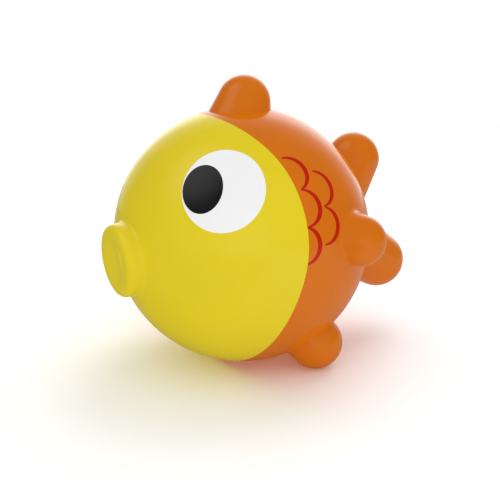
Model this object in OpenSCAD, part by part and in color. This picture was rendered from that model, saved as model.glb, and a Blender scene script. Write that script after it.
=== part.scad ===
// Squeaky bath toy in the shape of a round fish, in millimetres.
// It rests on the plane z = 0 and looks along -X, with +Z up and its left side towards -Y.
// The round body is centred above the origin, and a squeaker fills a hole in its belly.

/* [Body] */
// Diameter of the round body
body_d = 80; // [74:1:110]
// Wall of the two body shells
wall = 2.2; // [1.8:0.1:3]
// Gap that the glue fills between two bonded pieces
bond_gap = 0.05; // [0.02:0.01:0.1]
// Width of the lip that laps the seam inside the body
lip_w = 2; // [1:0.5:2.5]
// Thickness of that lip
lip_t = 1.2; // [0.8:0.1:2]

/* [Edge of the face] */
// How far the edge's rearmost point lies ahead of the body's middle
edge_ahead = 1.5; // [1:0.5:5]
// Height of that point above the body's middle
edge_rise = 8.6; // [6:0.2:11]
// Radius of the edge at mid height, seen from the side
edge_mid_r = 64; // [54:1:80]
// Radius of the edge over the crown
edge_top_r = 30; // [26:1:34]
// Angle at which the crown's radius takes over
edge_top_angle = 12; // [8:1:16]
// Angle of the straight stretch under the cheek
edge_low_angle = 12; // [9:1:14]

/* [Mouth] */
// Diameter of the mouth
mouth_d = 22; // [18:1:26]
// How far the mouth stands out ahead of the body
mouth_reach = 3.5; // [2.6:0.1:5]
// Angle by which the mouth points below level
mouth_dip = 4; // [0:1:8]
// Radius of the mouth's rounded rim
mouth_rim_r = 1.8; // [1:0.1:2.4]
// Radius of the fillet at the mouth's root
mouth_fillet_r = 1.6; // [1:0.1:2.4]
// Diameter of the dimple in the mouth
dimple_d = 13; // [8:0.5:14]
// Depth of the dimple
dimple_depth = 0.9; // [0.4:0.1:1.4]

/* [Eyes] */
// Height of the eye's white
eye_h = 24.5; // [20:0.1:26]
// Width of the eye's white
eye_w = 23.4; // [20:0.1:25]
// Angle of the eye round from straight ahead
eye_turn = 51; // [48:1:53]
// Angle of the eye above level
eye_lift = 31.8; // [28:0.1:34]
// Thickness of the white
eye_t = 1; // [0.8:0.1:1.4]
// Height of the oval pupil
pupil_h = 14.4; // [11:0.1:16]
// Width of the oval pupil
pupil_w = 11.6; // [9:0.1:13]
// Thickness of the pupil
pupil_t = 0.5; // [0.3:0.1:0.6]
// White left between the pupil and the front of the eye
pupil_margin = 0.2; // [0.2:0.1:1.5]

/* [Scale lines] */
// Outer radius of one scale line
scale_r = 5.5; // [4.5:0.1:5.6]
// Width of the line at its middle
scale_line = 1.5; // [0.8:0.1:1.7]
// Depth of the printed line in the skin
print_t = 0.4; // [0.3:0.1:0.8]
// Distance from one scale up to the next
scale_pitch = 10.8; // [10.6:0.1:12]
// Distance from the front row of scales back to the next row
scale_row = 7; // [6:0.2:8]
// Angle of the pattern round from straight ahead
scales_turn = 88.5; // [88:0.5:92]
// Angle of the pattern's middle above level
scales_lift = 22; // [18:1:24]
// Angle by which the outer scales lean to follow the face's edge
scale_lean = 16; // [0:1:18]

/* [Fins] */
// Wall of a hollow fin
fin_wall = 2; // [1.6:0.1:2.6]
// Step from a fin's skin down to the spigot in its socket
fin_step = 0.8; // [0.5:0.1:1]
// How far a spigot reaches through the body's wall
spigot_out = 1; // [0.5:0.1:2]
// Radius of the top fin's round end
dorsal_end_r = 8.2; // [6:0.1:9.5]
// Radius of the top fin at its root
dorsal_root_r = 10.8; // [9:0.1:11.6]
// Depth of the centre of the top fin's root under the skin
dorsal_root_depth = 8; // [6:0.1:9]
// How far the top fin's end centre stands off the body
dorsal_reach = 1.3; // [0:0.1:8]
// Angle of the top fin's end, counted from straight ahead over the top
dorsal_lift = 91.3; // [88:0.1:100]
// Radius of the upper tail lobe's round end
upper_tail_end_r = 8.7; // [6:0.1:10]
// Radius of the upper tail lobe at its root
upper_tail_root_r = 9; // [7:0.1:10]
// Depth of the centre of both lobes' roots under the skin
tail_root_depth = 7.5; // [6:0.1:9]
// How far the upper lobe's end centre stands off the body
upper_tail_reach = 7.7; // [4:0.1:14]
// Angle of the upper lobe's end above level
upper_tail_lift = 25.5; // [20:0.5:34]
// Radius of the lower tail lobe's round end
lower_tail_end_r = 9.4; // [7:0.1:10.5]
// Radius of the lower tail lobe at its root
lower_tail_root_r = 12; // [10:0.1:13]
// How far the lower lobe's end centre stands off the body
lower_tail_reach = 16.8; // [9:0.1:20]
// Angle of the lower lobe's end below level
lower_tail_drop = 16.3; // [12:0.1:20]
// Radius of a side fin's round end
side_end_r = 7.6; // [6:0.1:8.6]
// Radius of a side fin at its root
side_root_r = 8; // [7:0.1:8.6]
// Depth of the centre of a side fin's root under the skin
side_root_depth = 6; // [5:0.1:7]
// How far a side fin's end centre stands off the body
side_reach = 1.1; // [0:0.1:6]
// Distance round the body from the middle of the scale lines back to a side fin's end
side_behind = 20.2; // [19.4:0.1:27]
// Angle of a side fin's end above level
side_lift = 4.5; // [0:0.5:10]
// Radius of a foot fin's round end
foot_end_r = 8.4; // [7:0.1:9]
// Radius of a foot fin at its root
foot_root_r = 8.8; // [8.4:0.1:11.6]
// Depth of the centre of a foot fin's root under the skin
foot_root_depth = 9; // [7.5:0.1:9.5]
// How far a foot fin's end centre stands off the body
foot_reach = 1; // [0.5:0.1:6]
// Angle of a foot fin's end round from straight ahead
foot_turn = 122.5; // [116:0.5:126]
// Depth of the flat that a foot fin stands on
foot_flat = 0.25; // [0.1:0.05:0.6]

/* [Squeaker] */
// Diameter of the squeaker's flange, the flat that the belly rests on
flange_d = 15; // [13:0.5:16]
// Thickness of the flange
flange_t = 1.6; // [1.2:0.1:1.8]
// Diameter of the squeaker's case
case_d = 11; // [10.4:0.2:12]
// Height of the case above the floor
case_h = 13; // [12.6:0.2:18]
// Wall of the case
case_wall = 1; // [0.8:0.1:1.2]
// Thickness of the case's floor
case_floor = 3; // [2:0.2:4]
// How far the snap bead stands out of the case
bead_out = 0.7; // [0.4:0.1:1]
// Height of the snap bead
bead_h = 1.2; // [0.8:0.1:2]
// Diameter of the air hole in the flange
vent_d = 3; // [2:0.2:3.4]
// Thickness of the cap on the case
cap_t = 1; // [0.8:0.1:1.6]
// Depth of the cap's ring in the case
cap_ring_h = 1.5; // [1:0.1:2]
// Wall of the cap's ring
cap_ring_t = 0.6; // [0.5:0.1:0.9]
// Diameter of each hole in the cap
cap_hole_d = 1.6; // [1:0.1:1.8]
// Number of holes in the cap
cap_holes = 4; // [3:1:6]

/* [Reed] */
// Diameter of the reed channel and its clamp together
channel_d = 5; // [4.6:0.1:5.6]
// Height of the reed channel
channel_h = 9; // [8.4:0.1:9]
// Height of the clamp
clamp_h = 3; // [2.6:0.1:3.4]
// Slot between the channel and the clamp, where the reed's foot sits
reed_slot = 0.6; // [0.6:0.02:0.8]
// How far the channel's face lies back from the free part of the reed
reed_relief = 0.6; // [0.5:0.1:0.9]
// Width of the air groove in the channel
groove_w = 1.6; // [1.2:0.1:2]
// Depth of the air groove below the channel's foot face
groove_depth = 1.3; // [1:0.1:1.4]
// Thickness of the channel's closed top end
channel_top = 1; // [0.8:0.1:1.4]
// Thickness of the reed
reed_t = 0.25; // [0.2:0.01:0.26]
// Width of the reed
reed_w = 3; // [2.4:0.1:3.4]
// Free length of the reed above its clamp
reed_free = 5.4; // [4:0.1:5.4]
// Length of the reed's foot inside the clamp
reed_foot = 2; // [1.6:0.1:2]

/* [Hidden] */

face_yellow = [0.882, 0.804, 0.188];
fin_orange = [0.808, 0.420, 0.114];
line_red = [0.745, 0.125, 0.110];
case_white = [0.93, 0.93, 0.91];
reed_clear = [0.80, 0.84, 0.86];

body_r = body_d / 2;
mid_z = body_r;
overrun = wall / 2;
ball_tilt = -30;
// A mouth fillet ends this far under the skin, so that the two meet at an angle
fillet_sink = bond_gap;
// The pieces of an arc, and the steps round a turned piece
arc_steps = 10;
$fn = 96;

// Directions of the fins' roots
dorsal_root_lift = 87;
upper_tail_root_lift = 0;
lower_tail_root_drop = 5;
side_root_lift = 8;
foot_root_turn = 120;
foot_root_drop = 54;

// A side fin keeps its distance from the scale lines, and its root lies a little ahead of its end
side_lean = 2.5;
side_turn = scales_turn + side_behind / body_r * 180 / PI;
side_root_turn = side_turn - side_lean;

// How wide a scale line is at its ends, as a share of its middle
line_end_share = 0.2;

// Each scale as its row, its place in the row, and its lean, in shares of the steps between scales
scale_place_shares = [[-0.25, 1, 1], [0, 0.03, 0], [-0.2, -0.94, -0.1], [0.93, 0.5, 0], [0.81, -0.5, -0.7]];

// The point at a distance from the body's middle, turned from straight ahead and lifted above level
function aim(dist, turn, lift) = [
    -dist * cos(lift) * cos(turn),
    -dist * cos(lift) * sin(turn),
    mid_z + dist * sin(lift)
];

// Points of an arc about a centre
function arc(centre, r, from, to, steps) = [
    for (i = [0 : steps]) let (a = from + (to - from) * i / steps) centre + r * [cos(a), sin(a)]
];

// Half outline of a fin, a skin stretched from its root ball to its end ball
function lobe_outline(root_r, end_r, span, inset) =
    let (lean = asin((root_r - end_r) / span))
    let (root_arc = arc([0, 0], root_r - inset, -90, lean, arc_steps))
    let (end_arc = arc([0, span], end_r - inset, lean, 90, arc_steps))
    concat(
        [[0, inset - root_r]],
        [for (i = [1 : arc_steps]) root_arc[i]],
        [for (i = [0 : arc_steps - 1]) end_arc[i]],
        [[0, span + end_r - inset]]
    );

// Turns local +Z to a direction, with local +X up the body and +Y towards the mouth
module facing(turn, lift) {
    translate([0, 0, mid_z])
        rotate([0, 0, turn])
            rotate([0, lift - 90, 0])
                children();
}

// The ball's poles are tilted clear of every fin, eye and hole
module body_ball(r) {
    translate([0, 0, mid_z])
        rotate([0, ball_tilt, 0])
            sphere(r);
}

module on_right() {
    mirror([0, 1, 0])
        children();
}

// Everything ahead of the face's edge, moved back by a shift
module face_side(shift) {
    mid_centre = [-edge_ahead - edge_mid_r + shift, mid_z + edge_rise];
    top_centre = mid_centre + (edge_mid_r - edge_top_r) * [cos(edge_top_angle), sin(edge_top_angle)];
    low_end = mid_centre + edge_mid_r * [cos(edge_low_angle), -sin(edge_low_angle)];
    under = low_end - body_d * [tan(edge_low_angle), 1];
    outline = concat(
        [[-2 * body_d, under[1]], under],
        arc(mid_centre, edge_mid_r, -edge_low_angle, edge_top_angle, arc_steps),
        arc(top_centre, edge_top_r, edge_top_angle, 90, 2 * arc_steps),
        [[-2 * body_d, top_centre[1] + edge_top_r]]
    );
    rotate([90, 0, 0])
        linear_extrude(height = 2 * body_d, center = true)
            polygon(outline);
}

// The mouth as a turned solid, from inside the body to its rim, or its hollow when inset by a wall
module mouth_form(inset) {
    skin_r = body_r - fillet_sink;
    reach = body_r + mouth_reach;
    side_r = mouth_d / 2;
    fillet_x = side_r + mouth_fillet_r;
    fillet_y = sqrt(pow(skin_r + mouth_fillet_r, 2) - pow(fillet_x, 2));
    foot_angle = atan2(fillet_y, fillet_x) + 180;
    fillet = arc([fillet_x, fillet_y], mouth_fillet_r, foot_angle, 180, arc_steps);
    rim = arc([side_r - mouth_rim_r, reach - mouth_rim_r], mouth_rim_r, 0, 90, arc_steps);
    base = body_r - mouth_d / 2;
    facing(0, -mouth_dip)
        if (inset > 0)
            cylinder(r = side_r - inset, h = reach - inset - dimple_depth);
        else
            rotate_extrude()
                polygon(concat([[0, base], [fillet[0][0], base]], fillet, rim, [[0, reach]]));
}

module dimple() {
    dish_r = (pow(dimple_d / 2, 2) + pow(dimple_depth, 2)) / (2 * dimple_depth);
    facing(0, -mouth_dip)
        translate([0, 0, body_r + mouth_reach + dish_r - dimple_depth])
            sphere(dish_r);
}

// A layer of the body's skin, from a depth up to just outside or exactly to the skin
module skin_layer(depth, out) {
    difference() {
        body_ball(body_r + out);
        body_ball(body_r - depth);
    }
}

// An upright oval, drawn out from the body's middle through the skin
module oval_plug(h, w, shift, gap) {
    outline = [for (i = [0 : $fn / 2 - 1]) let (a = 720 * i / $fn)
        [(h / 2 + gap) * cos(a), (w / 2 + gap) * sin(a)]];
    facing(eye_turn, eye_lift)
        translate([0, shift, 0])
            linear_extrude(height = body_d)
                polygon(outline);
}

module eye_plug(gap) {
    oval_plug(eye_h, eye_w, 0, gap);
}

module pupil_plug(gap) {
    oval_plug(pupil_h, pupil_w, eye_w / 2 - pupil_w / 2 - pupil_margin, gap);
}

module eye_white() {
    color("white")
        difference() {
            intersection() {
                skin_layer(eye_t, 0);
                eye_plug(0);
            }
            intersection() {
                skin_layer(pupil_t + bond_gap, overrun);
                pupil_plug(bond_gap);
            }
        }
}

module pupil() {
    color([0.15, 0.15, 0.16])
        intersection() {
            skin_layer(pupil_t, 0);
            pupil_plug(0);
        }
}

// One scale line, wide at its middle and narrow at its ends
module scale_crescent(gap) {
    outer_r = scale_r + gap;
    inner_r = scale_r - scale_line * line_end_share - gap;
    inner_y = scale_line * (1 - line_end_share);
    outer_end = asin(gap / outer_r);
    inner_end = asin((gap - inner_y) / inner_r);
    outline = concat(
        arc([0, 0], outer_r, -180 - outer_end, outer_end, 2 * arc_steps),
        arc([0, inner_y], inner_r, inner_end, -180 - inner_end, 2 * arc_steps)
    );
    linear_extrude(height = body_d)
        polygon(outline);
}

module scale_plugs(gap) {
    pitch_angle = scale_pitch / body_r * 180 / PI;
    row_angle = scale_row / body_r * 180 / PI / cos(scales_lift);
    for (s = scale_place_shares)
        facing(scales_turn + s[0] * row_angle, scales_lift + s[1] * pitch_angle)
            rotate([0, 0, s[2] * scale_lean])
                scale_crescent(gap);
}

// The lines stop at the face's edge
module scale_lines() {
    color(line_red)
        difference() {
            intersection() {
                skin_layer(print_t, 0);
                scale_plugs(0);
            }
            face_side(0);
        }
}

// A fin's solid form, its skin inset by an amount, with the seam of its turned skin at an angle
module fin_form(end, end_r, root, root_r, inset, seam = 0) {
    axis = end - root;
    span = norm(axis);
    translate(root)
        rotate([0, acos(axis[2] / span), atan2(axis[1], axis[0])])
            rotate([0, 0, seam])
                rotate_extrude()
                    polygon(lobe_outline(root_r, end_r, span, inset));
}

module dorsal_form(inset) {
    fin_form(
        aim(body_r + dorsal_reach, 0, dorsal_lift), dorsal_end_r,
        aim(body_r - dorsal_root_depth, 0, dorsal_root_lift), dorsal_root_r, inset);
}

module tail_form(inset) {
    fin_form(
        aim(body_r + upper_tail_reach, 180, upper_tail_lift), upper_tail_end_r,
        aim(body_r - tail_root_depth, 180, upper_tail_root_lift), upper_tail_root_r, inset);
    fin_form(
        aim(body_r + lower_tail_reach, 180, -lower_tail_drop), lower_tail_end_r,
        aim(body_r - tail_root_depth, 180, -lower_tail_root_drop), lower_tail_root_r, inset);
}

module side_form(inset) {
    fin_form(
        aim(body_r + side_reach, side_turn, side_lift), side_end_r,
        aim(body_r - side_root_depth, side_root_turn, side_root_lift), side_root_r, inset);
}

// The foot fin's end ball sinks by the depth of its flat, so the toy stands level on it, and its
// seam is on the upper side, clear of the flat
module foot_form(inset) {
    foot_drop = asin((mid_z + foot_flat - foot_end_r) / (body_r + foot_reach));
    fin_form(
        aim(body_r + foot_reach, foot_turn, -foot_drop), foot_end_r,
        aim(body_r - foot_root_depth, foot_root_turn, -foot_root_drop), foot_root_r, inset, 180);
}

// Turns the forms above into a hollow fin that sits on the skin, with a spigot through the wall
module hollow_fin() {
    color(fin_orange)
        difference() {
            union() {
                difference() {
                    children(0);
                    body_ball(body_r + bond_gap);
                }
                intersection() {
                    children(1);
                    body_ball(body_r + overrun);
                }
            }
            children(2);
            body_ball(body_r - wall - spigot_out);
        }
}

module dorsal_fin() {
    hollow_fin() {
        dorsal_form(0);
        dorsal_form(fin_step);
        dorsal_form(fin_wall);
    }
}

module tail_fin() {
    hollow_fin() {
        tail_form(0);
        tail_form(fin_step);
        tail_form(fin_wall);
    }
}

module side_fin() {
    hollow_fin() {
        side_form(0);
        side_form(fin_step);
        side_form(fin_wall);
    }
}

module foot_fin() {
    difference() {
        hollow_fin() {
            foot_form(0);
            foot_form(fin_step);
            foot_form(fin_wall);
        }
        translate([-body_d, -body_d, -body_d])
            cube([2 * body_d, 2 * body_d, body_d]);
    }
}

module face_shell() {
    color(face_yellow)
        difference() {
            union() {
                difference() {
                    intersection() {
                        union() {
                            body_ball(body_r);
                            mouth_form(0);
                        }
                        face_side(-bond_gap);
                    }
                    body_ball(body_r - wall);
                }
                seam_lip();
            }
            mouth_form(wall);
            dimple();
            dorsal_form(fin_step - bond_gap);
            eye_recess();
            on_right()
                eye_recess();
        }
}

module eye_recess() {
    intersection() {
        skin_layer(eye_t + bond_gap, overrun);
        eye_plug(bond_gap);
    }
}

// The lip is fused to the face shell ahead of the seam and slips inside the rear shell behind it
module seam_lip() {
    inner_r = body_r - wall - lip_t;
    difference() {
        intersection() {
            body_ball(body_r - wall / 2);
            face_side(-bond_gap);
        }
        body_ball(inner_r);
        face_side(-lip_w);
    }
    difference() {
        intersection() {
            body_ball(body_r - wall - bond_gap);
            face_side(lip_w);
        }
        body_ball(inner_r);
        face_side(-lip_w / 2);
    }
}

module rear_shell() {
    color(fin_orange)
        difference() {
            skin_layer(wall, 0);
            face_side(0);
            dorsal_form(fin_step - bond_gap);
            tail_form(fin_step - bond_gap);
            side_form(fin_step - bond_gap);
            foot_form(fin_step - bond_gap);
            on_right() {
                side_form(fin_step - bond_gap);
                foot_form(fin_step - bond_gap);
            }
            scale_recesses();
            on_right()
                scale_recesses();
            cylinder(r = case_d / 2 + bond_gap, h = body_r);
            translate([0, 0, -overrun])
                cylinder(r = flange_d / 2 + bond_gap, h = flange_t + bond_gap + overrun);
        }
}

module scale_recesses() {
    intersection() {
        skin_layer(print_t + bond_gap, overrun);
        scale_plugs(bond_gap);
    }
}

// Height of the body's inner skin over the edge of the case, where the snap bead grips it
bead_z = mid_z - sqrt(pow(body_r - wall, 2) - pow(case_d / 2, 2)) + bond_gap;

module squeaker_case() {
    case_r = case_d / 2;
    bead_r = case_r + bead_out;
    bore_r = case_r - case_wall;
    outline = [
        [0, 0], [flange_d / 2, 0], [flange_d / 2, flange_t], [case_r, flange_t],
        [case_r, bead_z], [bead_r, bead_z + bead_out / 2], [case_r, bead_z + bead_h],
        [case_r, case_h], [bore_r, case_h], [bore_r, case_floor], [0, case_floor]
    ];
    color(case_white)
        difference() {
            union() {
                rotate_extrude()
                    polygon(outline);
                cylinder(r = channel_d / 2 + case_wall, h = case_floor + clamp_h / 2);
            }
            translate([0, 0, case_floor - case_wall])
                cylinder(r = channel_d / 2 + bond_gap, h = case_h);
            translate([0, 0, -overrun])
                cylinder(r = vent_d / 2, h = case_floor + overrun);
        }
}

// The channel and the clamp stand on the case's socket, whose floor lies here
socket_z = case_floor - case_wall;

module squeaker_cap() {
    case_r = case_d / 2;
    ring_r = case_r - case_wall - bond_gap;
    ring_inner_r = ring_r - cap_ring_t;
    color(case_white)
        difference() {
            union() {
                translate([0, 0, case_h])
                    cylinder(r = case_r, h = cap_t);
                translate([0, 0, case_h - cap_ring_h])
                    cylinder(r = ring_r, h = cap_ring_h + cap_t / 2);
            }
            translate([0, 0, case_h - cap_ring_h - overrun])
                cylinder(r = ring_inner_r, h = cap_ring_h + overrun);
            for (i = [0 : cap_holes - 1])
                rotate([0, 0, 360 * i / cap_holes])
                    translate([ring_inner_r / 2, 0, case_h - overrun])
                        cylinder(r = cap_hole_d / 2, h = cap_t + 2 * overrun);
        }
}

// The half of a round bar that lies beyond a distance from its axis, along +X
module half_bar(from, h) {
    intersection() {
        cylinder(r = channel_d / 2, h = h);
        translate([from, -channel_d, -overrun])
            cube([channel_d, 2 * channel_d, h + 2 * overrun]);
    }
}

module reed_channel() {
    face_x = reed_slot / 2;
    color(case_white)
        translate([0, 0, socket_z])
            difference() {
                half_bar(face_x, channel_h);
                translate([0, -channel_d, clamp_h])
                    cube([face_x + reed_relief, 2 * channel_d, channel_h]);
                translate([0, -groove_w / 2, -overrun])
                    cube([face_x + groove_depth, groove_w, channel_h - channel_top + overrun]);
            }
}

module reed_clamp() {
    color(case_white)
        translate([0, 0, socket_z])
            mirror([1, 0, 0])
                half_bar(reed_slot / 2, clamp_h);
}

module squeaker_reed() {
    color(reed_clear)
        translate([-reed_t / 2, -reed_w / 2, socket_z + clamp_h - reed_foot])
            cube([reed_t, reed_w, reed_foot + reed_free]);
}

face_shell();
rear_shell();
dorsal_fin();
tail_fin();
side_fin();  // left_side_fin
on_right() side_fin();  // right_side_fin
foot_fin();  // left_foot_fin
on_right() foot_fin();  // right_foot_fin
eye_white();  // left_eye_white
on_right() eye_white();  // right_eye_white
pupil();  // left_pupil
on_right() pupil();  // right_pupil
scale_lines();  // left_scale_lines
on_right() scale_lines();  // right_scale_lines
squeaker_case();
squeaker_cap();
reed_channel();
reed_clamp();
squeaker_reed();
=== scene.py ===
"""Looks of the round fish bath toy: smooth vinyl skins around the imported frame, on a pale floor.

Sizes in the modelling code are millimetres, as in the part's source. Finished meshes, lamps and
the camera are in metres. Turns and lifts are degrees: from straight ahead to the toy's left,
and above level.
"""

import itertools
import math

import bpy
import numpy as np
from mathutils import Matrix


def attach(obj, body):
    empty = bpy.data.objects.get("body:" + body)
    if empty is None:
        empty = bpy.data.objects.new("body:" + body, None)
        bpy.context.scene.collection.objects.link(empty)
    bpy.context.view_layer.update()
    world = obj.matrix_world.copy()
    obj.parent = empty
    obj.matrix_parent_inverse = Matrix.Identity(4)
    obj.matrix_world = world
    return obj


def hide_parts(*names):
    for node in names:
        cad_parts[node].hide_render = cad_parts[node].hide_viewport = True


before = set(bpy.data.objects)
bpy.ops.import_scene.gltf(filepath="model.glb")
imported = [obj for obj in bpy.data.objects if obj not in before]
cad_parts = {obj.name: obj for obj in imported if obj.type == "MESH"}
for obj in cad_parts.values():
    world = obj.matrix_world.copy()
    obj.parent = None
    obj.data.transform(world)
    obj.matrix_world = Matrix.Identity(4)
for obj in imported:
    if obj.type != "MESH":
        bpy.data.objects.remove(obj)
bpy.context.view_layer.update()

MM = 0.001
BODY_R, WALL = 40.0, 2.2
INNER_R = BODY_R - WALL
CENTRE = np.array([0.0, 0.0, BODY_R])

# The squeaker's round hole in the belly, the heights that its cut spans, and the cut's sides
FLANGE_R, HOLE_LOW, HOLE_HIGH, HOLE_SIDES = 7.55, -3, 6, 96

# The face's edge in side view: middle arc, upper arc and straight lower stretch
EDGE_X, EDGE_Z = -1.5, 48.6
EDGE_MID_R, EDGE_TOP_R = 64.0, 30.0
EDGE_TURN = math.radians(12)

# The mouth points a little down, and has a round rim, a fillet at its root and a dimple
MOUTH_DIP = 4
MOUTH_R, MOUTH_REACH = 11.0, 43.5
RIM_R, ROOT_FILLET_R = 1.8, 1.6
DIMPLE_R, DIMPLE_DEPTH = 6.5, 0.9

# The eye's place, the half sizes of its white and its pupil, and the pupil's shift to the mouth
EYE_TURN, EYE_LIFT = 51, 31.8
EYE_H, EYE_W = 12.25, 11.7
PUPIL_H, PUPIL_W, PUPIL_SHIFT = 7.2, 5.8, 5.7

# Scale lines, and each one's place: rows behind the front row, pitches up, and share of the lean
SCALE_R, SCALE_LINE, LINE_END_SHARE = 5.5, 1.5, 0.2
SCALE_TURN, SCALE_LIFT, SCALE_LEAN = 88.5, 22, 16
SCALE_PITCH, SCALE_ROW = 10.8, 7.0
SCALE_PLACES = [
    (-0.25, 1, 1),
    (0, 0.03, 0),
    (-0.2, -0.94, -0.1),
    (0.93, 0.5, 0),
    (0.81, -0.5, -0.7),
]

# Heights of a printed film's two faces over the skin, and of each scale line over the last
FILM_LOW, FILM_HIGH, LINE_STEP = 0.004, 0.03, 0.001

# A fin's lobe is the hull of two balls. Each ball is given by its distance from the body's
# middle, its turn and lift from there, and its radius. A blend is the reach of a fillet.
# The side fin lies a gap behind the scale lines, measured round the body, and the foot's
# end would reach a little under the floor, where it is cut flat.
DORSAL_LOBE = (32, 0, 87, 10.8), (41.3, 0, 91.3, 8.2)
TAIL_UPPER_LOBE = (32.5, 180, 0, 9.0), (47.7, 180, 25.5, 8.7)
TAIL_LOWER_LOBE = (32.5, 180, -5, 12.0), (56.8, 180, -16.3, 9.4)
TAIL_BLEND = 2.5
SIDE_GAP, SIDE_BLEND = 20.2, 1.6
SIDE_TURN = SCALE_TURN + math.degrees(SIDE_GAP / BODY_R)
SIDE_LOBE = (34, SIDE_TURN - 2.5, 8, 8.0), (41.1, SIDE_TURN, 4.5, 7.6)
FOOT_DIST, FOOT_R, FOOT_FLAT = 41, 8.4, 0.25
FOOT_DROP = math.degrees(math.asin((BODY_R + FOOT_FLAT - FOOT_R) / FOOT_DIST))
FOOT_LOBE = (31, 120, -54, 8.8), (FOOT_DIST, 122.5, -FOOT_DROP, FOOT_R)

# Under the body's skin: how deep a fin's root is closed, how low its fillet ends,
# how far the fillet goes on past that end, and how steeply it dives there
ROOT_DEPTH, FILLET_SINK, FILLET_SKIRT, FILLET_DIVE = 1.2, 0.003, 0.4, 0.4

# Steps round the skins, rings along them, and the share of the way that their poles' fans take
RING = 384
FACE_RINGS, REAR_RINGS, INNER_RINGS = 190, 220, 60
OUTER_FAN, INNER_FAN = 0.005, 0.02


def unit(v):
    return v / np.linalg.norm(v)


def toward(turn, lift):
    """The direction turned from straight ahead to the left, and lifted above level."""
    a, e = math.radians(turn), math.radians(lift)
    return np.array([-math.cos(e) * math.cos(a), -math.cos(e) * math.sin(a), math.sin(e)])


def aim(dist, turn, lift):
    """The point at a distance from the body's middle."""
    return CENTRE + dist * toward(turn, lift)


def local_axes(turn, lift, lean=0):
    """Axes of a place on the body: up the body, towards the mouth, and outwards."""
    out = toward(turn, lift)
    up = toward(turn, lift + 90)
    ahead = np.cross(out, up)
    a = math.radians(lean)
    return (
        math.cos(a) * up + math.sin(a) * ahead,
        math.cos(a) * ahead - math.sin(a) * up,
        out,
    )


def circle(count):
    """Cosines and sines of even steps round a circle."""
    a = 2 * math.pi * np.arange(count) / count
    return np.cos(a), np.sin(a)


def arc(x, y, r, angles):
    """Points round a middle, at angles in radians."""
    return [x, y] + r * np.stack([np.cos(angles), np.sin(angles)], 1)


# Meshes

SHARP_ANGLE = math.radians(35)


def smooth(mesh):
    mesh.shade_smooth()
    mesh.set_sharp_from_angle(angle=SHARP_ANGLE)


def make_object(name, points, faces, material):
    mesh = bpy.data.meshes.new(name)
    mesh.from_pydata((np.asarray(points) * MM).tolist(), [], [tuple(map(int, f)) for f in faces])
    mesh.validate()
    smooth(mesh)
    obj = bpy.data.objects.new(name, mesh)
    bpy.context.scene.collection.objects.link(obj)
    mesh.materials.append(material)
    return obj


def place(obj, node):
    """Says what a piece rides on, and hides the CAD node that it stands for."""
    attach(obj, "toy")
    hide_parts(node)


def rings_to_solid(rings, poles):
    """Points and faces of a closed skin through a list of rings, with a pole at each end."""
    count = len(rings[0])
    points = np.concatenate([*rings, np.array(poles)])
    faces = []
    around = np.arange(count)
    after = (around + 1) % count
    for i in range(len(rings) - 1):
        low, high = i * count, (i + 1) * count
        faces.append(np.stack([low + around, high + around, high + after, low + after], 1))
    last = (len(rings) - 1) * count
    pole_a, pole_b = len(rings) * count, len(rings) * count + 1
    fan_a = np.stack([np.full(count, pole_a), around, after], 1)
    fan_b = np.stack([np.full(count, pole_b), last + after, last + around], 1)
    return points, [*np.concatenate(faces).tolist(), *fan_a.tolist(), *fan_b.tolist()]


def flat_ring(r, z, count):
    """Points of a level circle round the upright axis."""
    x, y = circle(count)
    return np.stack([r * x, r * y, np.full(count, z)], 1)


def turned_over(faces):
    return [tuple(reversed(f)) for f in faces]


def mirrored(points, faces):
    return np.array(points) * [1, -1, 1], turned_over(faces)


def add_both_hands(rows):
    """Adds the pieces of the left side, then their mirror images on the right side."""
    for hand, mirror in (("left", lambda *solid: solid), ("right", mirrored)):
        for piece, node, solid, material, slot in rows:
            obj = make_object(f"{hand}_{piece}", *mirror(*solid), material)
            place(obj, f"{hand}_{node}")


# Distances from forms, negative inside


def ball(p, centre, r):
    return np.linalg.norm(p - centre, axis=-1) - r


def lobe(p, root_ball, end_ball):
    """Distance from the hull of two balls."""
    root, root_r = aim(*root_ball[:3]), root_ball[3]
    end, end_r = aim(*end_ball[:3]), end_ball[3]
    span = np.linalg.norm(end - root)
    axis = (end - root) / span
    lean = (root_r - end_r) / span
    keep = math.sqrt(1 - lean * lean)
    along = (p - root) @ axis
    off = np.linalg.norm(p - root - along[..., None] * axis, axis=-1)
    side = keep * along - lean * off
    return np.where(
        side < 0,
        np.hypot(off, along) - root_r,
        np.where(
            side > keep * span,
            np.hypot(off, along - span) - end_r,
            keep * off + lean * along - root_r,
        ),
    )


def soft_min(a, b, reach):
    """The smaller of two distances, with a fillet where they differ by less than reach."""
    near = np.maximum(reach - np.abs(a - b), 0) / reach
    return np.minimum(a, b) - near**3 * reach / 6


def gradient(field, p, step=0.01):
    out = np.empty_like(p)
    for i in range(3):
        d = np.zeros(3)
        d[i] = step
        out[:, i] = (field(p + d) - field(p - d)) / (2 * step)
    return out


# Keep the moves of settle finite where a field is flat, and where a point is there already
LEAST_SLOPE, LEAST_MOVE = 0.05, 1e-12


def settle(field, p, rounds, limit):
    """Moves points along the field's slope to where it is zero."""
    for _ in range(rounds):
        g = gradient(field, p)
        move = (field(p) / np.maximum((g * g).sum(1), LEAST_SLOPE))[:, None] * g
        length = np.maximum(np.linalg.norm(move, axis=1, keepdims=True), LEAST_MOVE)
        p = p - move * np.minimum(1, limit / length)
    return p


# A net's points settle first, then draw evenly apart by a share each time and settle again
FIRST_SETTLES, EVEN_ROUNDS, EVEN_SHARE, EVEN_SETTLES = 3, 4, 0.5, 2


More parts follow.
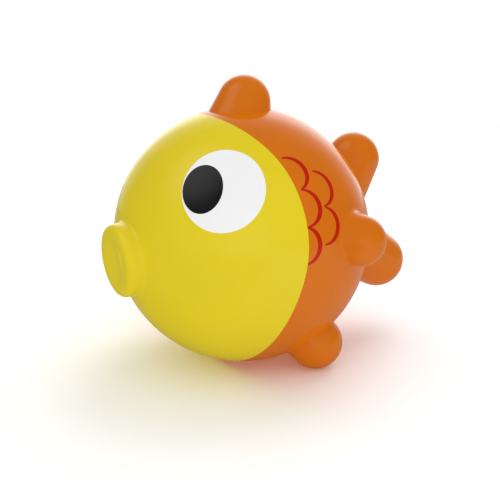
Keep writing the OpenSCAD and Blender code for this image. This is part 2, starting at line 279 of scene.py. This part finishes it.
def net_of(field, low, high, step):
    """Points and quads of the skin where a field is zero."""
    low, high = np.asarray(low, float), np.asarray(high, float)
    n = np.ceil((high - low) / step).astype(int) + 1
    axes = [low[i] + step * np.arange(n[i]) for i in range(3)]
    grid = np.stack(np.meshgrid(*axes, indexing="ij"), -1)
    inside = (field(grid.reshape(-1, 3)) < 0).reshape(n)
    cells = n - 1
    total = sum(
        inside[i : i + cells[0], j : j + cells[1], k : k + cells[2]].astype(int)
        for i, j, k in itertools.product((0, 1), repeat=3)
    )
    mixed = (total > 0) & (total < 8)
    index = np.full(cells, -1)
    index[mixed] = np.arange(mixed.sum())
    points = low + step * (np.argwhere(mixed) + 0.5)
    quads = []
    for axis in range(3):
        b, c = (axis + 1) % 3, (axis + 2) % 3
        start = np.take(inside, range(n[axis] - 1), axis)
        end = np.take(inside, range(1, n[axis]), axis)
        for sign in (True, False):
            at = np.argwhere((start == sign) & (end != sign))
            at = at[(at[:, b] > 0) & (at[:, c] > 0) & (at[:, b] < cells[b]) & (at[:, c] < cells[c])]
            corners = []
            for db, dc in ((1, 1), (0, 1), (0, 0), (1, 0)):
                cell = at.copy()
                cell[:, b] -= db
                cell[:, c] -= dc
                corners.append(index[tuple(cell.T)])
            quad = np.stack(corners, 1)
            quads.append(quad if sign else quad[:, ::-1])
    quads = np.concatenate(quads)
    quads = quads[(quads >= 0).all(1)]
    points = settle(field, points, FIRST_SETTLES, step)
    ends = np.concatenate([quads[:, [i, (i + 1) % 4]] for i in range(4)])
    for _ in range(EVEN_ROUNDS):
        total, count = np.zeros_like(points), np.zeros(len(points))
        for a, b in ((0, 1), (1, 0)):
            np.add.at(total, ends[:, a], points[ends[:, b]])
            np.add.at(count, ends[:, a], 1)
        points = points + EVEN_SHARE * (total / np.maximum(count, 1)[:, None] - points)
        points = settle(field, points, EVEN_SETTLES, step)
    return points, quads.tolist()


def fin_solid(form, low, high, step, blend=0, flat=False):
    """A fin closed a little way under the body's skin.

    blend is the reach of a fillet that runs out on the skin, and flat cuts it at floor level.
    """

    def field(p):
        f = fin = form(p)
        if blend:
            dive = FILLET_DIVE * np.maximum(fin - blend, 0)
            skin = ball(p, CENTRE, BODY_R - FILLET_SINK) + dive
            f = np.maximum(soft_min(fin, skin, blend), fin - blend - FILLET_SKIRT)
        f = np.maximum(f, -ball(p, CENTRE, BODY_R - ROOT_DEPTH))
        return np.maximum(f, -p[..., 2]) if flat else f

    return net_of(field, low, high, step)


# Body shells

mouth_up, mouth_side, mouth_out = local_axes(0, -MOUTH_DIP)
ring_cos, ring_sin = circle(RING)
ring_out = ring_cos[:, None] * mouth_up + ring_sin[:, None] * mouth_side

# Angles from the mouth's axis, in radians, between which the face's edge is found,
# and how often the span between them is halved
EDGE_FROM, EDGE_TO, HALVINGS = 0.4, 2.6, 50

# Points on each stretch of the mouth's profile, the last one on the body's skin,
# and how far that one runs round the body, in radians
DISH_POINTS, RIM_POINTS, FILLET_POINTS, SKIN_POINTS = 66, 30, 26, 42
SKIN_ANGLE = 0.1

# The profile is cut into even steps and softened by a bell curve of a width and a number of
# steps to each side, with its end repeated for that. Then every third point is kept.
PROFILE_STEP, KEEP_EVERY = 0.1, 3
SOFT_WIDTH, SOFT_STEPS, END_STEPS = 0.55, 24, 40

# How far before the profile's end the softening starts to fade out, and over what length
FADE_START, FADE_LENGTH = 7.5, 1.5


def edge_x(z):
    """Where the face's edge lies at a height, in side view."""
    mid_x = EDGE_X - EDGE_MID_R
    drop = EDGE_MID_R - EDGE_TOP_R
    top_x, top_z = mid_x + drop * math.cos(EDGE_TURN), EDGE_Z + drop * math.sin(EDGE_TURN)
    reach = EDGE_MID_R * math.sin(EDGE_TURN)
    low_z = EDGE_Z - reach
    low_x = mid_x + EDGE_MID_R * math.cos(EDGE_TURN)
    middle = mid_x + np.sqrt(np.maximum(EDGE_MID_R**2 - (z - EDGE_Z) ** 2, 0))
    upper = top_x + np.sqrt(np.maximum(EDGE_TOP_R**2 - (z - top_z) ** 2, 0))
    lower = low_x - (low_z - z) * math.tan(EDGE_TURN)
    return np.where(z > EDGE_Z + reach, upper, np.where(z < low_z, lower, middle))


def on_cone(theta):
    """Directions at an angle from the mouth's axis, one for each step round it."""
    theta = np.broadcast_to(theta, (RING,))
    return np.cos(theta)[:, None] * mouth_out + np.sin(theta)[:, None] * ring_out


def cone_rings(r, start, end, shares):
    """Rings round the mouth's axis on a ball of radius r, by their share of the way."""
    return [CENTRE + r * on_cone(start + (end - start) * share) for share in shares]


def edge_angles(r):
    """Angle from the mouth's axis at which a ball of radius r meets the face's edge."""
    low, high = np.full(RING, EDGE_FROM), np.full(RING, EDGE_TO)
    for _ in range(HALVINGS):
        mid = (low + high) / 2
        p = CENTRE + r * on_cone(mid)
        ahead = p[:, 0] < edge_x(p[:, 2])
        low, high = np.where(ahead, mid, low), np.where(ahead, high, mid)
    return low


def sharp_profile():
    """Dimple, rim, fillet and a stretch of skin: distance from the axis, and height along it."""
    dish_r = (DIMPLE_R**2 + DIMPLE_DEPTH**2) / (2 * DIMPLE_DEPTH)
    dish_h = MOUTH_REACH - DIMPLE_DEPTH + dish_r
    r = np.linspace(0, DIMPLE_R, DISH_POINTS)
    dish = np.stack([r, dish_h - np.sqrt(dish_r**2 - r**2)], 1)
    a = np.radians(np.linspace(90, 0, RIM_POINTS))
    rim = arc(MOUTH_R - RIM_R, MOUTH_REACH - RIM_R, RIM_R, a)
    fillet_x = MOUTH_R + ROOT_FILLET_R
    fillet_h = math.sqrt((BODY_R + ROOT_FILLET_R) ** 2 - fillet_x**2)
    a = np.linspace(math.pi, math.atan2(fillet_h, fillet_x) + math.pi, FILLET_POINTS)
    fillet = arc(fillet_x, fillet_h, ROOT_FILLET_R, a)
    end = math.atan2(fillet[-1][0], fillet[-1][1])
    a = np.linspace(end, end + SKIN_ANGLE, SKIN_POINTS)[1:]
    skin = BODY_R * np.stack([np.sin(a), np.cos(a)], 1)
    return np.concatenate([dish, rim, fillet, skin])


def mouth_profile():
    """The profile with the dimple's lip and the rim softened, and the body's skin as it was."""
    line = sharp_profile()
    length = np.concatenate([[0], np.cumsum(np.linalg.norm(np.diff(line, axis=0), axis=1))])
    at = np.arange(0, length[-1], PROFILE_STEP)
    even = np.stack([np.interp(at, length, line[:, i]) for i in (0, 1)], 1)
    beyond = even[-1:].repeat(END_STEPS, 0)
    whole = np.concatenate([even[:0:-1] * [-1, 1], even, beyond])
    x = np.arange(-SOFT_STEPS, SOFT_STEPS + 1) * PROFILE_STEP
    weight = np.exp(-0.5 * (x / SOFT_WIDTH) ** 2)
    weight /= weight.sum()
    soft = np.stack([np.convolve(whole[:, i], weight, "same") for i in (0, 1)], 1)
    soft = soft[len(even) - 1 :][: len(even)]
    past_rim = np.clip((at - (at[-1] - FADE_START)) / FADE_LENGTH, 0, 1)[:, None]
    return (soft * (1 - past_rim) + even * past_rim)[KEEP_EVERY::KEEP_EVERY]


def face_skin():
    profile = mouth_profile()
    mouth = [CENTRE + h * mouth_out + r * ring_out for r, h in profile]
    start = math.atan2(profile[-1][0], profile[-1][1])
    outer = cone_rings(BODY_R, start, edge_angles(BODY_R), np.linspace(0, 1, FACE_RINGS)[1:])
    inner = cone_rings(INNER_R, 0, edge_angles(INNER_R), np.linspace(1, INNER_FAN, INNER_RINGS))
    dimple = CENTRE + (MOUTH_REACH - DIMPLE_DEPTH) * mouth_out
    return rings_to_solid(mouth + outer + inner, [dimple, CENTRE + INNER_R * mouth_out])


def rear_skin():
    outer_shares = np.linspace(0, 1 - OUTER_FAN, REAR_RINGS)
    inner_shares = np.linspace(1 - INNER_FAN, 0, INNER_RINGS)
    outer = cone_rings(BODY_R, edge_angles(BODY_R), math.pi, outer_shares)
    inner = cone_rings(INNER_R, edge_angles(INNER_R), math.pi, inner_shares)
    return rings_to_solid(inner + outer, [CENTRE - r * mouth_out for r in (INNER_R, BODY_R)])


def cut_round_hole(obj, r, low, high):
    """Cuts an upright round hole at the origin through a piece."""
    rings = [flat_ring(r, z, HOLE_SIDES) for z in (low, high)]
    points, faces = rings_to_solid(rings, [[0, 0, low], [0, 0, high]])
    plug = make_object("plug", points, turned_over(faces), obj.data.materials[0])
    cut = obj.modifiers.new("hole", "BOOLEAN")
    cut.operation = "DIFFERENCE"
    cut.object = plug
    cut.solver = "EXACT"
    cut_obj = obj.evaluated_get(bpy.context.evaluated_depsgraph_get())
    mesh = bpy.data.meshes.new_from_object(cut_obj)
    obj.modifiers.clear()
    obj.data = mesh
    smooth(mesh)
    bpy.data.objects.remove(plug)


# Prints

# Steps round an oval and rings across it. Then fine steps along a scale line before it is cut
# at the face's edge, steps along what is left, and steps across it.
OVAL_STEPS, OVAL_RINGS = 128, 24
LINE_FINE, LINE_ALONG, LINE_ACROSS = 600, 60, 4


def on_skin(turn, lift, lean, u, v):
    """Directions of the skin under local plane points, up the body and towards the mouth."""
    up, ahead, out = local_axes(turn, lift, lean)
    w = np.sqrt(BODY_R**2 - u**2 - v**2)
    p = u[..., None] * up + v[..., None] * ahead + w[..., None] * out
    return p / BODY_R


def film_faces(directions, base):
    """Points of a printed film's upper and lower face. base is where the film under it ends."""
    return [CENTRE + (BODY_R + base + height) * directions for height in (FILM_HIGH, FILM_LOW)]


def oval_film(shift, half_h, half_w, base):
    """A printed oval on the eye's place, shifted towards the mouth."""
    x, y = circle(OVAL_STEPS)
    share = np.linspace(1, 0, OVAL_RINGS + 1)[:-1, None]
    grid = on_skin(EYE_TURN, EYE_LIFT, 0, share * half_h * x, shift + share * half_w * y)
    middle = on_skin(EYE_TURN, EYE_LIFT, 0, np.zeros(1), np.full(1, shift))[0]
    high, low = film_faces(grid, base)
    return rings_to_solid([*high[::-1], *low], film_faces(middle, base))


def strip_film(grid, base):
    """A printed strip. grid is rows of directions from the body's middle."""
    rows, cols = grid.shape[:2]
    points = np.concatenate([side.reshape(-1, 3) for side in film_faces(grid, base)])
    faces = []
    n = rows * cols
    for i, j in itertools.product(range(rows - 1), range(cols - 1)):
        a, b, c, d = i * cols + j, i * cols + j + 1, (i + 1) * cols + j + 1, (i + 1) * cols + j
        faces += [(a, b, c, d), (n + d, n + c, n + b, n + a)]
    border = list(range(cols))
    border += [i * cols + cols - 1 for i in range(1, rows)]
    border += [(rows - 1) * cols + j for j in range(cols - 2, -1, -1)]
    border += [i * cols for i in range(rows - 2, 0, -1)]
    for a, b in zip(border, border[1:] + border[:1]):
        faces.append((b, a, n + a, n + b))
    return points, faces


def scale_line(turn, lift, lean, base):
    """A printed line, wide at its middle and narrow at its ends, that stops at the face's edge."""
    inner_r = SCALE_R - SCALE_LINE * LINE_END_SHARE
    inner_y = SCALE_LINE * (1 - LINE_END_SHARE)
    end = math.asin(-inner_y / inner_r)
    fine = np.linspace(0, 1, LINE_FINE + 1)
    outer = arc(0, 0, SCALE_R, -math.pi + math.pi * fine)
    inner = arc(0, inner_y, inner_r, -math.pi - end + (math.pi + 2 * end) * fine)
    share = np.linspace(0, 1, LINE_ACROSS + 1)[:, None, None]
    plane = outer * (1 - share) + inner * share
    grid = []
    for line in on_skin(turn, lift, lean, plane[..., 0], plane[..., 1]):
        p = CENTRE + BODY_R * line
        behind = fine[p[:, 0] > edge_x(p[:, 2])]
        at = np.linspace(behind[0], behind[-1], LINE_ALONG + 1)
        grid.append(np.stack([np.interp(at, fine, line[:, i]) for i in range(3)], 1))
    return strip_film(np.array(grid), base)


def scale_lines():
    """The five scale lines of one side, as one solid."""
    row = math.degrees(SCALE_ROW / BODY_R) / math.cos(math.radians(SCALE_LIFT))
    pitch = math.degrees(SCALE_PITCH / BODY_R)
    points, faces, start = [], [], 0
    for i, (back, rise, lean) in enumerate(SCALE_PLACES):
        turn, lift = SCALE_TURN + back * row, SCALE_LIFT + rise * pitch
        line_points, line_faces = scale_line(turn, lift, lean * SCALE_LEAN, i * LINE_STEP)
        points.append(line_points)
        faces += [tuple(start + corner for corner in face) for face in line_faces]
        start += len(line_points)
    return np.concatenate(points), faces


# Materials

# Levels between which a noise texture mostly stays
NOISE_RANGE = (0.3, 0.7)

# Scales of the clouding, the wear and the fine skin, and the depth of that skin in metres
CLOUD_SCALE, WEAR_SCALE, SKIN_SCALE = 35, 160, 2200
SKIN_DEPTH = 0.0001


def grey(level):
    return (level, level, level, 1)


def linear(rgb):
    """Linear levels of a colour that is written from 0 to 255, as on a screen."""
    return [((c / 255 + 0.055) / 1.055) ** 2.4 if c > 10 else c / 255 / 12.92 for c in rgb]


def new_material(name):
    material = bpy.data.materials.new(name)
    material.use_nodes = True
    nodes = material.node_tree.nodes
    return material, nodes, material.node_tree.links, nodes["Principled BSDF"]


def map_range(nodes, links, value, given, wanted):
    """Maps one range of a value to another, and clamps it there."""
    node = nodes.new("ShaderNodeMapRange")
    for name, level in zip(("From Min", "From Max", "To Min", "To Max"), (*given, *wanted)):
        node.inputs[name].default_value = level
    links.new(value, node.inputs["Value"])
    return node.outputs["Result"]


def noise(nodes, links, coords, scale, detail, rough=0.5):
    node = nodes.new("ShaderNodeTexNoise")
    node.inputs["Scale"].default_value = scale
    node.inputs["Detail"].default_value = detail
    node.inputs["Roughness"].default_value = rough
    links.new(coords.outputs["Object"], node.inputs["Vector"])
    return node.outputs["Fac"]


def vinyl(name, rgb, vary, rough=(0.14, 0.18), ior=1.5, bump=0.05, grain=SKIN_SCALE, painted_glow=0.0):
    """Glossy moulded or printed vinyl, with faint clouding in its colour and a very fine skin.

    painted_glow is a painted glow: the share of its colour that the vinyl gives off as emission,
    which lifts its shade evenly all over.
    """
    material, nodes, links, bsdf = new_material(name)
    coords = nodes.new("ShaderNodeTexCoord")
    full = linear(rgb)
    base = [c * (1 - painted_glow) for c in full]
    mix = nodes.new("ShaderNodeMix")
    mix.data_type = "RGBA"
    mix.inputs["A"].default_value = [*[c * (1 - vary) for c in base], 1]
    mix.inputs["B"].default_value = [*[min(1, c * (1 + vary)) for c in base], 1]
    cloud = noise(nodes, links, coords, CLOUD_SCALE, detail=4)
    links.new(map_range(nodes, links, cloud, NOISE_RANGE, (0, 1)), mix.inputs["Factor"])
    links.new(mix.outputs["Result"], bsdf.inputs["Base Color"])
    wear = noise(nodes, links, coords, WEAR_SCALE, detail=5, rough=0.6)
    links.new(map_range(nodes, links, wear, NOISE_RANGE, rough), bsdf.inputs["Roughness"])
    bumped = nodes.new("ShaderNodeBump")
    bumped.inputs["Strength"].default_value = bump
    bumped.inputs["Distance"].default_value = SKIN_DEPTH
    links.new(noise(nodes, links, coords, grain, detail=2), bumped.inputs["Height"])
    links.new(bumped.outputs["Normal"], bsdf.inputs["Normal"])
    bsdf.inputs["IOR"].default_value = ior
    # A painted glow: the vinyl's own colour given off as light, lifting its shaded parts
    bsdf.inputs["Emission Color"].default_value = [*full, 1]
    bsdf.inputs["Emission Strength"].default_value = painted_glow
    return material


def reed_film():
    material = vinyl("reed_film", (205, 214, 218), vary=0.03, rough=(0.08, 0.14))
    bsdf = material.node_tree.nodes["Principled BSDF"]
    bsdf.inputs["Transmission Weight"].default_value = 0.6
    return material


def white_plastic():
    return vinyl(
        "white_plastic",
        (232, 232, 226),
        vary=0.02,
        rough=(0.32, 0.42),
        ior=1.45,
        bump=0.2,
        grain=900,
    )


# Both shells take a painted glow, an emission of their colour that lifts their shaded underside
yellow = vinyl("yellow_vinyl", (226, 204, 33), vary=0.04, painted_glow=0.3)
orange = vinyl("orange_vinyl", (211, 110, 7), vary=0.04, painted_glow=0.3)
white = vinyl("white_print", (243, 243, 243), vary=0.01)
black = vinyl("black_print", (14, 14, 16), vary=0.1)
red = vinyl("red_print", (188, 24, 2), vary=0.03)
satin = white_plastic()
clear = reed_film()

# The two shells

face = make_object("face_skin", *face_skin(), yellow)
place(face, "face_shell")

rear = make_object("rear_skin", *rear_skin(), orange)
cut_round_hole(rear, FLANGE_R, HOLE_LOW, HOLE_HIGH)
place(rear, "rear_shell")

# The fins, each in a box that holds it with room to spare


def dorsal(p):
    return lobe(p, *DORSAL_LOBE)


def tail(p):
    return soft_min(lobe(p, *TAIL_UPPER_LOBE), lobe(p, *TAIL_LOWER_LOBE), TAIL_BLEND)


def side(p):
    return lobe(p, *SIDE_LOBE)


def foot(p):
    return lobe(p, *FOOT_LOBE)


dorsal_solid = fin_solid(dorsal, low=(-15, -14, 70), high=(13, 14, 92), step=0.5)
place(make_object("dorsal_fin_skin", *dorsal_solid, orange), "dorsal_fin")

tail_solid = fin_solid(tail, low=(28, -15, 12), high=(66, 15, 72), step=0.55)
place(make_object("tail_fin_skin", *tail_solid, orange), "tail_fin")

side_solid = fin_solid(side, low=(4, -47, 28), high=(32, -28, 58), step=0.5, blend=SIDE_BLEND)
foot_solid = fin_solid(foot, low=(-6, -36, -1), high=(27, -8, 24), step=0.5, flat=True)
add_both_hands(
    [
        ("side_fin_skin", "side_fin", side_solid, orange, "body_vinyl"),
        ("foot_fin_skin", "foot_fin", foot_solid, orange, "body_vinyl"),
    ]
)

# The prints, with the pupil's film over the eye's

eye_solid = oval_film(0, EYE_H, EYE_W, 0)
pupil_solid = oval_film(PUPIL_SHIFT, PUPIL_H, PUPIL_W, FILM_HIGH)
add_both_hands(
    [
        ("eye_print", "eye_white", eye_solid, white, "eye_white"),
        ("pupil_print", "pupil", pupil_solid, black, "pupil_black"),
        ("scale_print", "scale_lines", scale_lines(), red, "line_red"),
    ]
)

# The squeaker's CAD nodes stay, and get better materials

for name, material in (
    ("squeaker_case", satin),
    ("squeaker_cap", satin),
    ("reed_channel", satin),
    ("reed_clamp", satin),
    ("squeaker_reed", clear),
):
    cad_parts[name].data.materials.clear()
    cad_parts[name].data.materials.append(material)

# Floor

FLOOR_R, FLOOR_SIDES, FLOOR_DROP = 600, 96, 0.02

# How pale the floor is to the camera, as light on the toy, and mirrored in the skin,
# where it rises between two places along X, in metres
FLOOR_SEEN, FLOOR_PLAIN = 1.1, 0.97
FLOOR_MIRRORED, FLOOR_RISE_X = (0.1, 0.36), (-0.05, 0.0)


def diffuse(nodes, level):
    node = nodes.new("ShaderNodeBsdfDiffuse")
    node.inputs["Color"].default_value = grey(level)
    return node


def mix_shader(nodes, links, share, first, second):
    """Shows a first shader node where share is 0, and a second one where it is 1."""
    node = nodes.new("ShaderNodeMixShader")
    links.new(share, node.inputs["Fac"])
    links.new(first.outputs[0], node.inputs[1])
    links.new(second.outputs[0], node.inputs[2])
    return node


def floor_material():
    """A floor that is white to the camera, and dim where the skin mirrors it."""
    material, nodes, links, bsdf = new_material("pale_floor")
    nodes.remove(bsdf)
    coords = nodes.new("ShaderNodeTexCoord")
    split = nodes.new("ShaderNodeSeparateXYZ")
    links.new(coords.outputs["Object"], split.inputs["Vector"])
    level = map_range(nodes, links, split.outputs["X"], FLOOR_RISE_X, FLOOR_MIRRORED)
    reflected = nodes.new("ShaderNodeBsdfDiffuse")
    links.new(level, reflected.inputs["Color"])
    plain, seen = diffuse(nodes, FLOOR_PLAIN), diffuse(nodes, FLOOR_SEEN)
    path = nodes.new("ShaderNodeLightPath")
    unseen = mix_shader(nodes, links, path.outputs["Is Glossy Ray"], plain, reflected)
    shown = mix_shader(nodes, links, path.outputs["Is Camera Ray"], unseen, seen)
    links.new(shown.outputs["Shader"], nodes["Material Output"].inputs["Surface"])
    return material


floor_points = flat_ring(FLOOR_R, -FLOOR_DROP, FLOOR_SIDES)
floor = make_object("floor", floor_points, [tuple(range(FLOOR_SIDES))], floor_material())

# Sky

# The mirrored studio is dim, but for a lit backdrop and a pale ceiling over the face.
# Each level is given at its place from 0, away from the backdrop, to 1, straight at it.
BACKDROP_WAY = (0.5624, 0.8083, 0.1736)
MIRROR_LEVELS = (
    (0.0, 0.26),
    (0.25, 0.16),
    (0.50, 0.08),
    (0.735, 0.09),
    (0.787, 0.11),
    (0.821, 0.16),
    (0.854, 0.28),
    (0.883, 0.46),
    (0.910, 0.55),
    (0.933, 0.80),
    (0.957, 1.32),
    (0.9755, 1.50),
    (1.0, 1.50),
)
CEILING_WAY, CEILING_COSINES, CEILING_LEVELS = (-0.57, 0.12, 0.813), (0.87, 1.0), (0, 0.82)

# The sky that lights the toy is brighter overhead
OVERHEAD_WAY, OVERHEAD_COSINES, FILL_LEVELS = (0, 0, 1), (0, 1), (0.40, 0.98)
SEEN_LEVEL = 1.0


def toward_way(nodes, links, coords, way, cosines, levels):
    """A level that rises as a direction turns to a way, between two cosines."""
    facing = nodes.new("ShaderNodeVectorMath")
    facing.operation = "DOT_PRODUCT"
    facing.inputs[1].default_value = way
    links.new(coords.outputs["Generated"], facing.inputs[0])
    return map_range(nodes, links, facing.outputs["Value"], cosines, levels)


def backdrop_level(nodes, links, coords):
    band = nodes.new("ShaderNodeValToRGB")
    stops = band.color_ramp.elements
    stops[0].color = grey(MIRROR_LEVELS[0][1])
    stops[1].color = grey(MIRROR_LEVELS[-1][1])
    for at, level in MIRROR_LEVELS[1:-1]:
        stops.new(at).color = grey(level)
    turn = toward_way(nodes, links, coords, BACKDROP_WAY, (-1, 1), (0, 1))
    links.new(turn, band.inputs["Fac"])
    return band.outputs["Color"]


def combine(nodes, links, operation, a, b):
    node = nodes.new("ShaderNodeMath")
    node.operation = operation
    links.new(a, node.inputs[0])
    links.new(b, node.inputs[1])
    return node.outputs["Value"]


def background(nodes):
    node = nodes.new("ShaderNodeBackground")
    node.inputs["Color"].default_value = grey(1)
    return node


def make_sky():
    """One sky that the camera sees, one that the skin mirrors and one that lights the toy."""
    world = bpy.data.worlds.new("studio")
    bpy.context.scene.world = world
    world.use_nodes = True
    nodes, links = world.node_tree.nodes, world.node_tree.links
    nodes.clear()
    coords = nodes.new("ShaderNodeTexCoord")
    mirrored_sky, fill_sky, seen_sky = background(nodes), background(nodes), background(nodes)
    backdrop = backdrop_level(nodes, links, coords)
    ceiling = toward_way(nodes, links, coords, CEILING_WAY, CEILING_COSINES, CEILING_LEVELS)
    level = combine(nodes, links, "ADD", backdrop, ceiling)
    links.new(level, mirrored_sky.inputs["Strength"])
    level = toward_way(nodes, links, coords, OVERHEAD_WAY, OVERHEAD_COSINES, FILL_LEVELS)
    links.new(level, fill_sky.inputs["Strength"])
    seen_sky.inputs["Strength"].default_value = SEEN_LEVEL
    path = nodes.new("ShaderNodeLightPath")
    glossy, through = path.outputs["Is Glossy Ray"], path.outputs["Is Transmission Ray"]
    glossy = combine(nodes, links, "MAXIMUM", glossy, through)
    unseen = mix_shader(nodes, links, glossy, fill_sky, mirrored_sky)
    shown = mix_shader(nodes, links, path.outputs["Is Camera Ray"], unseen, seen_sky)
    output = nodes.new("ShaderNodeOutputWorld")
    links.new(shown.outputs["Shader"], output.inputs["Surface"])


make_sky()

# Lamps and camera

LAMP_SIZE = 0.7

# The camera's place and axes, worked out from the photograph together with the body
CAMERA_AT = (-0.13704, -0.23472, 0.10748)
CAMERA_RIGHT = (0.85867, -0.51253, 0.0)
CAMERA_UP = (0.13264, 0.22222, 0.96593)
CAMERA_BACK = (-0.49507, -0.82942, 0.25880)
CAMERA_LENS, CAMERA_SENSOR, CAMERA_NEAREST = 63.75, 36, 0.01


def stand(name, data, at, right, up, back):
    """Adds a lamp or camera at a place, turned to three axes."""
    obj = bpy.data.objects.new(name, data)
    bpy.context.scene.collection.objects.link(obj)
    rows = [[right[i], up[i], back[i], at[i]] for i in range(3)]
    obj.matrix_world = Matrix([*rows, [0, 0, 0, 1]])
    return obj


def soft_lamp(name, at, watts):
    """A wide lamp that lights the vinyl without a hard reflection in it."""
    lamp = bpy.data.lights.new(name, "AREA")
    lamp.shape = "DISK"
    lamp.size = LAMP_SIZE
    lamp.energy = watts
    back = unit(np.array(at) - CENTRE * MM)
    right = unit(np.cross([0.0, 0.0, 1.0], back))
    stand(name, lamp, at, right, np.cross(back, right), back).visible_glossy = False


soft_lamp("behind", at=(0.46, 0.32, 0.75), watts=2.3)
soft_lamp("front", at=(-0.35, -0.83, 0.06), watts=3.6)

camera = bpy.data.cameras.new("camera")
camera.lens = CAMERA_LENS
camera.sensor_width = CAMERA_SENSOR
camera.clip_start = CAMERA_NEAREST
camera_object = stand("camera", camera, CAMERA_AT, CAMERA_RIGHT, CAMERA_UP, CAMERA_BACK)
bpy.context.scene.camera = camera_object
bpy.context.scene.view_settings.view_transform = "Standard"
